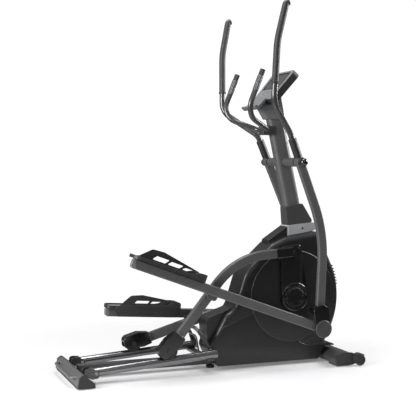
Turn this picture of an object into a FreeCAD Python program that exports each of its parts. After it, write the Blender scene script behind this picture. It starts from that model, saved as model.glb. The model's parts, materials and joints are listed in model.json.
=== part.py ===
"""Front-drive elliptical trainer: frame, drive, swing arms, pedal arms and roller bars as separate parts.

Frame: millimetres, +X towards the front of the machine, +Y towards its left, +Z up, floor at Z = 0.
Both sides use the same parts. Each link is drawn in its own local frame and then placed at rest:
the right crank points up, leaning back a little, and the left crank points down.
"""
import FreeCAD, Part
import math
import os
import re
from FreeCAD import Placement, Rotation, Vector

SIZES = {
    # moves the drawing's origin to the middle of the finished machine's length
    "origin_shift": 10.5,
    # rails, which rise slightly towards the front
    "rail_lane": 132, "rail_radius": 20, "rail_wall": 2, "rail_rear_x": -632, "rail_rear_z": 49,
    "rail_front_x": -25, "rail_front_z": 93,
    # rollers that run on the rails
    "roller_groove": 29, "roller_rim": 38, "roller_width": 40, "roller_gap": 0.4, "roller_bore": 8.05,
    "roller_pin": 8,
    # crank
    "hub_x": 398, "hub_z": 338, "crank_radius": 225, "crank_lean": 5, "crank_inner": 95,
    "crank_thickness": 14, "crank_axle_radius": 10, "crank_foot_radius": 70, "crank_head_half": 54,
    # roller bar, from roller to crank pin
    "bar_length": 776, "bar_height": 44, "bar_width": 30, "bar_wall": 3, "bar_bend_x": 513,
    "bar_bend_z": 154, "bar_bend_radius": 350,
    # swing arm, hung on the cross axle
    "cross_x": 384, "cross_z": 995, "cross_radius": 10, "swing_lane": 182, "swing_length": 813,
    "swing_bow_x": 80, "swing_bow_z": -355, "swing_bow_radius": 700, "swing_height": 44,
    "swing_width": 28, "swing_wall": 3, "swing_hub_radius": 23, "swing_hub_width": 44,
    "sleeve_radius": 20, "sleeve_length": 118, "handle_radius": 14.5, "handle_wall": 2,
    "grip_radius": 16, "lean_right": 8, "lean_left": 10.5,
    # pedal arm, hung on the lower end of the swing arm
    "arm_length": 1000, "arm_height": 45, "arm_width": 30, "arm_wall": 3, "arm_lane": 185,
    "arm_tilt_right": 20.5, "arm_tilt_left": 4.3, "knuckle_radius": 18, "pivot_radius": 8,
    "fork_thickness": 6, "cover_half": 39, "disc_radius": 43,
    # pedal
    "pedal_front": 656, "pedal_rear": 1022, "pedal_inner": 100, "pedal_outer": 226,
    "pedal_floor": 5, "pedal_lip": 16, "pedal_guard": 62, "guard_thickness": 5, "pad_thickness": 4,
    # base
    "beam_width": 50, "beam_height": 40, "beam_bottom": 22, "beam_wall": 3,
    "rear_half": 235, "front_half": 246, "cap_length": 13, "foot_height": 7,
    "wheel_x": 688, "wheel_z": 30, "wheel_radius": 27, "wheel_width": 22, "wheel_pin": 5,
    # housing
    "housing_half": 84, "housing_wall": 3, "housing_edge": 24, "plateau_radius": 226,
    "plateau_height": 5,
    # mast, leaning back
    "mast_foot_x": 452, "mast_foot_z": 668, "mast_top_x": 330, "mast_top_z": 1226,
    "mast_depth": 82, "mast_width": 58, "mast_wall": 3, "mast_corner": 22,
    # drive
    "post_depth": 56, "post_width": 40, "bearing_radius": 26, "bearing_width": 14,
    "pulley_radius": 110, "pulley_inner": 62, "pulley_width": 13, "flywheel_x": 538,
    "flywheel_z": 290, "flywheel_radius": 92, "flywheel_width": 38, "flywheel_axle": 8,
    "small_pulley": 22, "belt_thickness": 2, "belt_gap": 0.4,
    # upper body
    "bar_tube": 13, "console_half": 130, "console_depth": 34, "key_radius": 7, "key_height": 6,
}

doc = FreeCAD.newDocument("elliptical_trainer")
sheet = doc.addObject("Spreadsheet::Sheet", "sizes")
for row, (alias, value) in enumerate(SIZES.items(), start=1):
    sheet.set("A%d" % row, alias)
    sheet.set("B%d" % row, str(value))
    sheet.setAlias("B%d" % row, alias)
doc.recompute()

S = type("Sizes", (), SIZES)
SIDES = {"right": -1, "left": 1}
KEYS = 3
NODES = []


# ---------------------------------------------------------------- helpers
def bind(piece, prop, text):
    """Bind a property to a formula written with the sheet's aliases."""
    def prefix(word):
        return "sizes." + word.group() if word.group() in SIZES else word.group()
    piece.setExpression(prop, re.sub(r"[a-z_][a-z_0-9]*", prefix, text))


def add(kind, name):
    return doc.addObject(kind, name)


def finish(piece, label, placement=None):
    """Name a sub-part, place it and list it for export."""
    piece.Label = label
    if placement is not None:
        piece.Placement = placement
    piece.Placement = Placement(Vector(S.origin_shift, 0, 0), Rotation()).multiply(piece.Placement)
    NODES.append(piece)
    return piece


def aim(start, direction):
    return Placement(Vector(*start), Rotation(Vector(0, 0, 1), Vector(*direction)))


def rod(radius, length, start, direction=(0, 1, 0)):
    """Cylinder from a start point; radius and length are formulas."""
    piece = add("Part::Cylinder", "rod")
    bind(piece, "Radius", radius)
    bind(piece, "Height", length)
    piece.Placement = aim(start, direction)
    return piece


def block(low, high):
    """Box between two corners given as numbers."""
    piece = add("Part::Box", "block")
    piece.Length, piece.Width, piece.Height = [b - a for a, b in zip(low, high)]
    piece.Placement = Placement(Vector(*low), Rotation())
    return piece


def fuse(*pieces):
    joined = add("Part::MultiFuse", "joined")
    joined.Shapes = list(pieces)
    joined.Refine = True
    return joined


def cut(base, *tools):
    result = add("Part::Cut", "cut")
    result.Base = base
    result.Tool = tools[0] if len(tools) == 1 else fuse(*tools)
    return result


def group(*pieces):
    """Separate solids that share one node."""
    together = add("Part::Compound", "set")
    together.Links = list(pieces)
    return together


def rounded(points, radii, closed=False):
    """Wire of straight runs and tangent arcs; radii has one value for each corner that is rounded."""
    points = [Vector(*p) for p in points]
    if closed:
        middle = (points[0] + points[-1]) * 0.5
        ends = [middle] + points + [middle]
    else:
        ends = points
    edges = []
    start = ends[0]
    for before, corner, after, radius in zip(ends, ends[1:], ends[2:], radii):
        back = (before - corner).normalize()
        ahead = (after - corner).normalize()
        half = back.getAngle(ahead) / 2
        first = corner + back * (radius / math.tan(half))
        last = corner + ahead * (radius / math.tan(half))
        centre = corner + (back + ahead).normalize() * (radius / math.sin(half))
        crown = centre + (corner - centre).normalize() * radius
        edges.append(Part.LineSegment(start, first).toShape())
        edges.append(Part.Arc(first, crown, last).toShape())
        start = last
    edges.append(Part.LineSegment(start, ends[-1]).toShape())
    return Part.Wire(edges)


def wire_feature(wire, name="path"):
    feature = add("Part::Feature", name)
    feature.Shape = wire
    return feature


def sweep(path, section):
    swept = add("Part::Sweep", "swept")
    swept.Sections = [section]
    swept.Spine = (path, [])
    swept.Solid = True
    swept.Frenet = False
    return swept


def round_bar(wire, radius):
    """Round bar along a wire; the radius is a formula."""
    path = wire_feature(wire)
    edge = wire.Edges[0]
    section = add("Part::Circle", "section")
    bind(section, "Radius", radius)
    section.Placement = aim(edge.Vertexes[0].Point, edge.tangentAt(edge.FirstParameter))
    return sweep(path, section)


def round_tube(wire, outer, wall):
    return cut(round_bar(wire, outer), round_bar(wire, "%s - %s" % (outer, wall)))


def flat_bar(wire, height, width, corner):
    """Rectangular bar along a wire in an XZ plane, its width along Y."""
    a, b = height / 2, width / 2
    rect = rounded([(-b, -a, 0), (b, -a, 0), (b, a, 0), (-b, a, 0)], [corner] * 4, closed=True)
    section = wire_feature(rect, "section")
    edge = wire.Edges[0]
    tangent = edge.tangentAt(edge.FirstParameter)
    turn = Rotation(Vector(0, 1, 0), Vector(), tangent, "ZXY")
    section.Placement = Placement(edge.Vertexes[0].Point, turn)
    return sweep(wire_feature(wire), section)


def flat_tube(wire, height, width, wall, corner=6):
    inner = max(corner - wall, 1)
    return cut(flat_bar(wire, height, width, corner),
               flat_bar(wire, height - 2 * wall, width - 2 * wall, inner))


def slab(outline, start, length, name="slab"):
    """Extrude an XZ outline along Y from start by length (a number; its sign gives the direction)."""
    piece = add("Part::Extrusion", name)
    piece.Base = wire_feature(outline, "outline")
    piece.Dir = Vector(0, 1 if length > 0 else -1, 0)
    piece.DirMode = "Custom"
    piece.LengthFwd = abs(length)
    piece.Solid = True
    piece.Placement = Placement(Vector(0, start, 0), Rotation())
    return piece


def side_outline(corners):
    """Closed XZ outline from (x, z, corner radius) triples."""
    return rounded([(x, 0, z) for x, z, _ in corners], [r for _, _, r in corners], closed=True)


def link_placement(x, z, turn):
    """Put a link's local origin at (x, z) and turn it about +Y; positive lowers the +X end."""
    return Placement(Vector(x, 0, z), Rotation(Vector(0, 1, 0), turn))


# ---------------------------------------------------------------- rest positions
def rail_slope():
    return math.atan2(S.rail_front_z - S.rail_rear_z, S.rail_front_x - S.rail_rear_x)


def roller_z(x):
    """Height of a roller's axle above a point x on the rail."""
    rise = S.rail_rear_z + (x - S.rail_rear_x) * math.tan(rail_slope())
    return rise + (S.rail_radius + S.roller_gap + S.roller_groove) / math.cos(rail_slope())


def crank_pin(side):
    lean = math.radians(S.crank_lean)
    up = -side * S.crank_radius
    return S.hub_x - up * math.sin(lean), S.hub_z + up * math.cos(lean)


def roller_place(side):
    """Where the roller's axle lies, so that the bar reaches the crank pin."""
    pin_x, pin_z = crank_pin(side)
    x = pin_x - S.bar_length
    for _ in range(30):
        x = pin_x - math.sqrt(S.bar_length ** 2 - (pin_z - roller_z(x)) ** 2)
    return x, roller_z(x)


def bar_placement(side):
    x, z = roller_place(side)
    pin_x, pin_z = crank_pin(side)
    return link_placement(x, z, -math.degrees(math.atan2(pin_z - z, pin_x - x)))


def swing_lean(side):
    return S.lean_right if side < 0 else S.lean_left


def swing_placement(side):
    return link_placement(S.cross_x, S.cross_z, -swing_lean(side))


def arm_pivot(side):
    lean = math.radians(swing_lean(side))
    return S.cross_x + S.swing_length * math.sin(lean), S.cross_z - S.swing_length * math.cos(lean)


def arm_placement(side):
    x, z = arm_pivot(side)
    return link_placement(x, z, S.arm_tilt_right if side < 0 else S.arm_tilt_left)


# ---------------------------------------------------------------- base
def centre_beam():
    low = S.beam_bottom
    outer = block((-660, -S.beam_width / 2, low), (640, S.beam_width / 2, low + S.beam_height))
    bind(outer, "Width", "beam_width")
    bind(outer, "Height", "beam_height")
    wall = S.beam_wall
    inner = block((-661, -S.beam_width / 2 + wall, low + wall),
                  (641, S.beam_width / 2 - wall, low + S.beam_height - wall))
    finish(fuse(cut(outer, inner), rail_crossmember()), "centre_beam")


REAR_PROFILE = [(-714, 7, 4), (-705, 50, 14), (-686, 63, 12), (-639, 24, 8), (-637, 7, 4)]


def rear_stabiliser():
    half = S.rear_half - S.cap_length
    shell = slab(side_outline(REAR_PROFILE), -half, 2 * half)
    core = slab(side_outline([(-711, 10, 3), (-703, 47, 12), (-686, 59, 10), (-643, 22, 6),
                              (-640, 10, 3)]), -half - 1, 2 * half + 2)
    notch = block((-662, -S.beam_width / 2 - 0.5, S.beam_bottom - 0.5),
                  (-630, S.beam_width / 2 + 0.5, S.beam_bottom + S.beam_height + 0.5))
    bow = rounded([(-702, -172, 42), (-729, -160, 42), (-729, 160, 42), (-702, 172, 42)], [14, 14])
    handle_bow = cut(round_bar(bow, "7"), slab(side_outline(REAR_PROFILE), -half, 2 * half))
    finish(cut(fuse(shell, handle_bow), core, notch), "rear_stabiliser")


def stabiliser_caps():
    """Dark end caps: triangular at the rear; at the front they carry the wheel forks."""
    caps = []
    rear = side_outline([(-715, 4, 4), (-706, 52, 14), (-686, 65, 12), (-637, 25, 8), (-634, 4, 4)])
    front = side_outline([(570, 5, 6), (566, 44, 18), (612, 69, 24), (668, 62, 16), (676, 9, 14),
                          (650, 5, 6)])
    for side in SIDES.values():
        caps.append(slab(rear, side * (S.rear_half - S.cap_length), side * S.cap_length))
        cap = slab(front, side * (S.front_half - 40), side * 14)
        caps.append(fuse(cap, *wheel_fork(side)))
    finish(group(*caps), "stabiliser_caps")


def front_stabiliser():
    half = S.front_half - 40
    outline = side_outline([(573, 9, 5), (570, 44, 16), (612, 66, 22), (664, 60, 14), (668, 9, 8)])
    core = side_outline([(577, 13, 3), (574, 43, 13), (612, 62, 19), (660, 57, 11), (664, 13, 5)])
    notch = block((560, -S.beam_width / 2 - 0.5, S.beam_bottom - 0.5),
                  (641, S.beam_width / 2 + 0.5, S.beam_bottom + S.beam_height + 0.5))
    finish(cut(slab(outline, -half, 2 * half), slab(core, -half - 1, 2 * half + 2), notch),
           "front_stabiliser")


def wheel_fork(side):
    """Arm and pin on a front cap that hold a transport wheel."""
    outline = side_outline([(630, 12, 8), (630, 54, 10), (688, 50, 14), (704, 26, 12), (684, 12, 10)])
    start = side * (S.front_half - 30)
    arm = slab(outline, start, side * 6)
    pin = rod("wheel_pin", "wheel_width + 8", (S.wheel_x, start, S.wheel_z), (0, side, 0))
    return arm, pin


def transport_wheels():
    wheels = []
    for side in SIDES.values():
        start = side * (S.front_half - 22.4)
        disc = rod("wheel_radius", "wheel_width", (S.wheel_x, start, S.wheel_z), (0, side, 0))
        bore = rod("wheel_pin + 0.05", "wheel_width + 2", (S.wheel_x, start - side, S.wheel_z),
                   (0, side, 0))
        wheels.append(cut(disc, bore))
    finish(group(*wheels), "transport_wheels")


def floor_pads():
    """Rubber strips under both stabilisers and a levelling foot under the middle of the beam."""
    pads = [block((-712, -S.rear_half + 20, 0), (-642, S.rear_half - 20, S.foot_height))]
    for side in SIDES.values():
        low, high = sorted((side * 120, side * (S.front_half - 42)))
        pads.append(block((578, low, 0), (648, high, 9)))
    pads.append(rod("20", "12", (-6, 0, 0), (0, 0, 1)))
    pads.append(rod("8", "beam_bottom - 12", (-6, 0, 12), (0, 0, 1)))
    finish(group(*pads), "floor_pads")


def rails():
    tubes = [round_tube(rail_line(side, 0), "rail_radius", "rail_wall") for side in SIDES.values()]
    finish(group(*tubes), "rails")


def rail_brackets():
    """Two-eared brackets on the rear stabiliser; each holds a rail's rear end between its ears."""
    brackets = []
    outline = side_outline([(-668, 44, 5), (-664, 74, 14), (-622, 72, 14), (-596, 50, 10),
                            (-600, 28, 8), (-632, 24, 8)])
    for side in SIDES.values():
        for offset in (-S.rail_radius - 5, S.rail_radius + 1):
            ear = slab(outline, side * S.rail_lane + offset, 4)
            ears = cut(ear, stabiliser_mass())
            brackets.append(ears)
    finish(group(*brackets), "rail_brackets")


def stabiliser_mass():
    """Filled rear stabiliser, used to trim what is welded to it."""
    grown = [(-715, 6, 4), (-706, 51, 14), (-686, 64, 12), (-638, 25, 8), (-636, 6, 4)]
    return slab(side_outline(grown), -S.rear_half, 2 * S.rear_half)


def rail_crossmember():
    """Bar under the front ends of the rails, welded across the centre beam."""
    top = S.beam_bottom + S.beam_height
    bar = block((-76, -S.rail_lane - 14, top), (-40, S.rail_lane + 14, top + 12))
    tubes = [round_bar(rail_line(side), "rail_radius + 0.2") for side in SIDES.values()]
    return cut(bar, *tubes)


def rail_line(side, extra=20):
    """Centre line of a rail, made longer by extra at both ends."""
    rise = extra * math.tan(rail_slope())
    ends = [Vector(S.rail_rear_x - extra, side * S.rail_lane, S.rail_rear_z - rise),
            Vector(S.rail_front_x + extra, side * S.rail_lane, S.rail_front_z + rise)]
    return Part.Wire([Part.LineSegment(*ends).toShape()])


def rail_arch():
    """Bow between the rails' front ends, clear of the rollers' path, and a thinner one inside it."""
    lane = S.rail_lane
    foot, knee, top = (-34, lane - 6, 88), (-44, lane - 34, 106), (-104, lane - 44, 208)
    half_bow = [foot, knee, top]
    other_half = [(x, -y, z) for x, y, z in reversed(half_bow)]
    outer = rounded(half_bow + other_half, [14, 44, 44, 14])
    inner = rounded([(-52, lane - 8, 86), (-64, lane - 40, 106), (-86, lane - 54, 162), (-86, -20, 162),
                     (-72, -28, 66)], [10, 20, 20])
    rails = [round_bar(rail_line(side), "rail_radius + 0.2") for side in SIDES.values()]
    bow = cut(round_bar(outer, "9"), *rails)
    thin = cut(round_bar(inner, "4.5"), round_bar(rail_line(1), "rail_radius + 0.2"),
               block((-100, -50, 20), (-40, 10, 74.2)))
    finish(group(bow, thin), "rail_arch")


# ---------------------------------------------------------------- drive inside the housing
def drive_frame():
    """Post on the beam with the crank's bearing tube and the flywheel's bracket plates."""
    foot = S.beam_bottom + S.beam_height
    path = rounded([(S.hub_x, 0, foot), (S.hub_x, 0, 420), (456.6, 0, 647), (441.5, 0, 716)], [120, 60])
    post = flat_tube(path, S.post_depth, S.post_width, 4)
    tube = rod("bearing_radius + 4", "116", (S.hub_x, -58, S.hub_z))
    bore = rod("bearing_radius", "118", (S.hub_x, -59, S.hub_z))
    plates = []
    for side in SIDES.values():
        outline = side_outline([(390, 262, 4), (390, 318, 4), (560, 312, 18), (560, 268, 18)])
        plates.append(slab(outline, side * (S.flywheel_width / 2 + 4), side * 6))
    hole = rod("flywheel_axle + 0.05", "80", (S.flywheel_x, -40, S.flywheel_z))
    finish(cut(fuse(post, tube, *plates), bore, hole), "drive_frame")


def crank_bearings():
    rings = []
    for side in SIDES.values():
        start = (S.hub_x, side * 57.5, S.hub_z)
        ring = rod("bearing_radius", "bearing_width", start, (0, -side, 0))
        hole = rod("crank_axle_radius + 0.05", "bearing_width + 2", (S.hub_x, side * 58.5, S.hub_z),
                   (0, -side, 0))
        rings.append(cut(ring, hole))
    finish(group(*rings), "crank_bearings")


def crank_axle():
    half = S.crank_inner + S.crank_thickness + 2
    axle = rod("crank_axle_radius", "2 * (crank_inner + crank_thickness + 2)",
               (S.hub_x, -half, S.hub_z))
    finish(axle, "crank_axle")


def grooved_wheel(radius, start, width, x, z, bore):
    disc = rod(radius, width, (x, start, z))
    return cut(disc, rod(bore, "%s + 2" % width, (x, start - 1, z)))


def drive_pulley():
    rim = grooved_wheel("pulley_radius", S.pulley_inner, "pulley_width", S.hub_x, S.hub_z,
                        "crank_axle_radius")
    holes = []
    for index in range(6):
        angle = math.radians(60 * index)
        x = S.hub_x + 72 * math.cos(angle)
        z = S.hub_z + 72 * math.sin(angle)
        holes.append(rod("24", "pulley_width + 2", (x, S.pulley_inner - 1, z)))
    finish(cut(rim, *holes), "drive_pulley")


def flywheel():
    half = S.flywheel_width / 2
    disc = rod("flywheel_radius", "flywheel_width", (S.flywheel_x, -half, S.flywheel_z))
    dish = rod("flywheel_radius - 22", "12", (S.flywheel_x, half - 12, S.flywheel_z))
    hub = rod("22", "12", (S.flywheel_x, half - 12, S.flywheel_z))
    axle = rod("flywheel_axle", "114", (S.flywheel_x, -36, S.flywheel_z))
    small = rod("small_pulley", "pulley_width", (S.flywheel_x, S.pulley_inner, S.flywheel_z))
    finish(fuse(cut(disc, dish), hub, axle, small), "flywheel")


def belt_outline(gap):
    """Outline round both pulleys at a distance from their rims: two tangents and two arcs."""
    big = S.pulley_radius + gap
    small = S.small_pulley + gap
    span_x = S.flywheel_x - S.hub_x
    span_z = S.flywheel_z - S.hub_z
    span = math.hypot(span_x, span_z)
    heading = math.atan2(span_z, span_x)
    spread = math.acos((big - small) / span)

    def at(x, z, radius, angle):
        return Vector(x + radius * math.cos(angle), 0, z + radius * math.sin(angle))

    upper, lower = heading + spread, heading - spread
    big_top, big_low = at(S.hub_x, S.hub_z, big, upper), at(S.hub_x, S.hub_z, big, lower)
    small_top = at(S.flywheel_x, S.flywheel_z, small, upper)
    small_low = at(S.flywheel_x, S.flywheel_z, small, lower)
    far = at(S.hub_x, S.hub_z, big, heading + math.pi)
    near = at(S.flywheel_x, S.flywheel_z, small, heading)
    return Part.Wire([Part.Arc(big_low, far, big_top).toShape(),
                      Part.LineSegment(big_top, small_top).toShape(),
                      Part.Arc(small_top, near, small_low).toShape(),
                      Part.LineSegment(small_low, big_low).toShape()])


def drive_belt():
    width = S.pulley_width - 3
    start = S.pulley_inner + 1.5
    outer = slab(belt_outline(S.belt_gap + S.belt_thickness), start, width)
    inner = slab(belt_outline(S.belt_gap), start - 1, width + 2)
    finish(cut(outer, inner), "drive_belt")


def brake_arm():
    """Curved magnet carrier over the flywheel, hinged at its rear end."""
    ring = rod("flywheel_radius + 18", "flywheel_width - 8",
               (S.flywheel_x, -S.flywheel_width / 2 + 4, S.flywheel_z))
    hollow = rod("flywheel_radius + 5", "flywheel_width",
                 (S.flywheel_x, -S.flywheel_width / 2, S.flywheel_z))
    sector = slab(side_outline([(S.flywheel_x - 75, S.flywheel_z + 60, 1),
                                (S.flywheel_x - 75, S.flywheel_z + 140, 1),
                                (S.flywheel_x + 40, S.flywheel_z + 140, 1),
                                (S.flywheel_x + 40, S.flywheel_z + 60, 1)]), -30, 60)
    segment = add("Part::Common", "segment")
    segment.Base = cut(ring, hollow)
    segment.Tool = sector
    finish(segment, "brake_arm")


# ---------------------------------------------------------------- crank
def crank_outline(grow):
    foot = S.crank_foot_radius + grow
    head = S.crank_head_half + grow
    top = S.crank_radius + 28 + grow
    left_low = Vector(-foot, 0, 0)
    right_low = Vector(foot, 0, 0)
    left_high = Vector(-head, 0, top - 20)
    right_high = Vector(head, 0, top - 20)
    left_top = Vector(-head + 20, 0, top)
    right_top = Vector(head - 20, 0, top)
    bend = 20 * (1 - math.sqrt(0.5))
    return Part.Wire([Part.Arc(left_low, Vector(0, 0, -foot), right_low).toShape(),
                      Part.LineSegment(right_low, right_high).toShape(),
                      Part.Arc(right_high, Vector(head - bend, 0, top - bend), right_top).toShape(),
                      Part.LineSegment(right_top, left_top).toShape(),
                      Part.Arc(left_top, Vector(-head + bend, 0, top - bend), left_high).toShape(),
                      Part.LineSegment(left_high, left_low).toShape()])


def crank(side, word):
    """Broad tapered crank with a raised ring round its hub."""
    plate = slab(crank_outline(0), side * S.crank_inner, side * S.crank_thickness)
    hub = rod("24", "6.5", (0, side * (S.crank_inner - 6), 0), (0, side, 0))
    bore = rod("crank_axle_radius", "60", (0, side * 80, 0), (0, side, 0))
    turn = -S.crank_lean if side < 0 else 180 - S.crank_lean
    face = side * (S.crank_inner + S.crank_thickness)
    ring = cut(rod("62", "3", (0, face, 0), (0, side, 0)), rod("50", "6", (0, face - side, 0), (0, side, 0)))
    cap = cut(rod("46", "4.5", (0, face, 0), (0, side, 0)),
              rod("crank_axle_radius + 0.5", "3", (0, face - side * 0.1, 0), (0, side, 0)))
    finish(group(cut(fuse(plate, hub, ring), bore), cap), "crank_" + word,
           link_placement(S.hub_x, S.hub_z, turn))


# ---------------------------------------------------------------- roller bar and its roller
def bar_point(distance):
    """Point on the lower leg of the bar, at a distance from the roller's axle."""
    leg = math.hypot(S.bar_bend_x, S.bar_bend_z)
    return distance * S.bar_bend_x / leg, distance * S.bar_bend_z / leg


def bar_head(distance):
    """Point on the upper leg of the bar, at a distance short of the crank pin."""
    run_x, run_z = S.bar_length - S.bar_bend_x, -S.bar_bend_z
    leg = math.hypot(run_x, run_z)
    return S.bar_length - distance * run_x / leg, -distance * run_z / leg


def roller_bar(side, word):
    lane = side * S.rail_lane
    low = bar_point(52)
    high = bar_head(44)
    path = rounded([(low[0], lane, low[1]), (S.bar_bend_x, lane, S.bar_bend_z), (high[0], lane, high[1])],
                   [S.bar_bend_radius])
    bar = flat_tube(path, S.bar_height, S.bar_width, S.bar_wall)
    finish(bar, "roller_bar_" + word, bar_placement(side))


def bar_end(side, word):
    """Black connector on the bar's upper end, with the round boss that meets the crank pin."""
    lane = side * S.rail_lane
    reach = bar_head(96)
    tip = bar_head(0)
    path = Part.Wire([Part.LineSegment(Vector(reach[0], lane, reach[1]),
                                       Vector(tip[0], lane, tip[1])).toShape()])
    sleeve = flat_bar(path, S.bar_height + 6, S.bar_width + 5, 7)
    boss = rod("27", "bar_width + 5", (tip[0], side * (S.rail_lane - (S.bar_width + 5) / 2), tip[1]),
               (0, side, 0))
    bolt = rod("11", "5", (tip[0], side * (S.rail_lane + (S.bar_width + 5) / 2), tip[1]), (0, side, 0))
    socket_end = bar_head(43.8)
    socket_path = Part.Wire([Part.LineSegment(Vector(reach[0] - 8, lane, reach[1] + 4.7),
                                              Vector(socket_end[0], lane, socket_end[1])).toShape()])
    socket = flat_bar(socket_path, S.bar_height + 0.02, S.bar_width + 0.02, 6)
    finish(cut(fuse(sleeve, boss, bolt), socket), "bar_end_" + word, bar_placement(side))


def roller_hood(side, word):
    """Glossy hood over the roller, open below, fixed to the bar's lower end."""
    lane = side * S.rail_lane
    tilt = math.degrees(math.atan2(S.bar_bend_z, S.bar_bend_x))
    outline = side_outline([(-50, -6, 14), (-40, 46, 26), (36, 46, 16), (88, 27, 8), (88, -27, 8),
                            (44, -30, 14)])
    rail_room = slab(side_outline([(-62, -40, 4), (-62, 24, 4), (-30, 24, 4), (-30, -40, 4)]),
                     lane - 21.5, 43)
    shell = slab(outline, lane - 25, 50)
    well = side_outline([(-60, -60, 8), (-46, 0, 8), (-35, 41, 20), (46, 41, 8), (46, -60, 8)])
    hollow = slab(well, lane - 21.5, 43)
    socket = block((44, lane - S.bar_width / 2, -S.bar_height / 2),
                   (90, lane + S.bar_width / 2, S.bar_height / 2))
    hole = rod("roller_pin + 0.05", "60", (0, lane - 30, 0))
    hood = cut(shell, hollow, rail_room, socket, hole)
    place = bar_placement(side).multiply(link_placement(0, 0, -tilt))
    finish(hood, "roller_hood_" + word, place)


def roller_axle(side, word):
    x, z = roller_place(side)
    lane = side * S.rail_lane
    pin = rod("roller_pin", "54", (x, lane - 27, z))
    heads = [rod("12", "3", (x, lane + sign * 27, z), (0, sign, 0)) for sign in (-1, 1)]
    finish(fuse(pin, *heads), "roller_axle_" + word)


def roller(side, word):
    """Wheel with a round groove that fits over the rail."""
    x, z = roller_place(side)
    lane = side * S.rail_lane
    half = S.roller_width / 2
    disc = rod("roller_rim", "roller_width", (x, lane - half, z))
    bore = rod("roller_bore", "roller_width + 2", (x, lane - half - 1, z))
    groove = add("Part::Torus", "groove")
    bind(groove, "Radius1", "roller_groove + rail_radius + roller_gap / 2")
    bind(groove, "Radius2", "rail_radius + roller_gap / 2")
    groove.Placement = aim((x, lane, z), (0, 1, 0))
    finish(cut(disc, bore, groove), "roller_" + word)


# ---------------------------------------------------------------- swing arm
def swing_path(side):
    """Centre line of the curved tube, from the hub to just above the fork."""
    lane = side * S.swing_lane
    return rounded([(0, lane, 0), (S.swing_bow_x, lane, S.swing_bow_z), (4, lane, -S.swing_length + 58)],
                   [S.swing_bow_radius])


def swing_arm(side, word):
    """Curved lower arm with the hub on the cross axle, the handle's sleeve and the fork below."""
    lane = side * S.swing_lane
    arm = flat_tube(swing_path(side), S.swing_height, S.swing_width, S.swing_wall, 8)
    hub = rod("swing_hub_radius", "swing_hub_width", (0, side * (S.swing_lane - 22), 0), (0, side, 0))
    reach = math.hypot(S.swing_bow_x, S.swing_bow_z)
    up = (-S.swing_bow_x / reach, 0, -S.swing_bow_z / reach)
    sleeve = rod("sleeve_radius", "sleeve_length", (0, lane, 0), up)
    socket_start = tuple(a + 30 * b for a, b in zip((0, lane, 0), up))
    socket = rod("handle_radius + 0.02", "sleeve_length", socket_start, up)
    bore = rod("cross_radius + 0.05", "60", (0, side * (S.swing_lane - 30), 0), (0, side, 0))
    fork = side_outline([(-16, -S.swing_length + 100, 6), (20, -S.swing_length + 100, 6),
                         (24, -S.swing_length - 20, 16), (-20, -S.swing_length - 20, 16)])
    ears = [slab(fork, side * 161.5, side * S.fork_thickness),
            slab(fork, side * 202.5, side * S.fork_thickness)]
    web = slab(side_outline([(-15, -S.swing_length + 52, 2), (-15, -S.swing_length + 96, 2),
                             (19, -S.swing_length + 96, 2), (19, -S.swing_length + 52, 2)]),
               side * 164, side * 41)
    pin_bore = rod("pivot_radius + 0.05", "80", (0, side * 150, -S.swing_length), (0, side, 0))
    body = cut(fuse(arm, hub, sleeve, web, *ears), bore, socket, pin_bore)
    finish(body, "swing_arm_" + word, swing_placement(side))


HANDLE_POINTS = [(-26.5, 182, 116), (-155, 302, 291), (-101, 308, 575), (-42, 311, 724)]


def handle_points(side):
    return [Vector(x, side * y, z) for x, y, z in HANDLE_POINTS]


def handle(side, word):
    points = handle_points(side)
    reach = math.hypot(S.swing_bow_x, S.swing_bow_z)
    up = Vector(-S.swing_bow_x / reach, 0, -S.swing_bow_z / reach)
    root = Vector(0, side * S.swing_lane, 0) + up * 30
    joint = Vector(0, side * S.swing_lane, 0) + up * 146
    path = rounded([root, joint] + points[1:], [60, 90, 420])
    finish(round_tube(path, "handle_radius", "handle_wall"), "handle_" + word, swing_placement(side))


def grip(side, word):
    """Soft sleeve over the upper part of the handle."""
    points = handle_points(side)
    start = points[1] + (points[2] - points[1]) * 0.34
    path = rounded([start, points[2], points[3]], [420])
    sleeve = cut(round_bar(path, "grip_radius"), round_bar(path, "handle_radius"))
    finish(group(sleeve, handle_cap(side)), "grip_" + word, swing_placement(side))


def handle_cap(side):
    """Slanted cap that closes the handle's end and hooks forward."""
    points = handle_points(side)
    along = (points[3] - points[2]).normalize()
    start = points[3]
    bend = start + along * 14
    path = rounded([start, bend, bend + Vector(14, 0, 4)], [8])
    return round_bar(path, "grip_radius - 0.5")


def joint_cover(side, word):
    """Glossy cover over the fork, outside the pedal arm."""
    drop = -S.swing_length
    outline = side_outline([(-S.cover_half, drop + 20, 20), (-S.cover_half, drop + 116, 30),
                            (S.cover_half, drop + 116, 30), (S.cover_half, drop + 20, 20)])
    foot = rod("disc_radius - 1", "9", (0, side * 209, drop), (0, side, 0))
    plate = slab(outline, side * 209, side * 9)
    cap = slab(side_outline([(-34, drop + 73, 6), (-34, drop + 114, 22), (36, drop + 114, 26),
                             (36, drop + 60, 8)]), side * 158, side * 52)
    tube = flat_bar(swing_path(side), S.swing_height + 0.4, S.swing_width + 0.4, 8)
    near, far = sorted((side * 161, side * 209))
    fork_room = block((-26, near, drop - 40), (26, far, drop + 100.5))
    hole = rod("pivot_radius + 4.5", "30", (0, side * 200, drop), (0, side, 0))
    finish(cut(fuse(plate, foot, cap), tube, fork_room, hole), "joint_cover_" + word,
           swing_placement(side))


# ---------------------------------------------------------------- pedal arm and pedal
def pivot_pin(side, word):
    """Axle at the lower end of the swing arm, with its textured disc."""
    x, z = arm_pivot(side)
    pin = rod("pivot_radius", "60", (x, side * 160, z), (0, side, 0))
    disc = rod("disc_radius", "5", (x, side * 218.5, z), (0, side, 0))
    finish(fuse(pin, disc), "pivot_pin_" + word)


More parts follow.
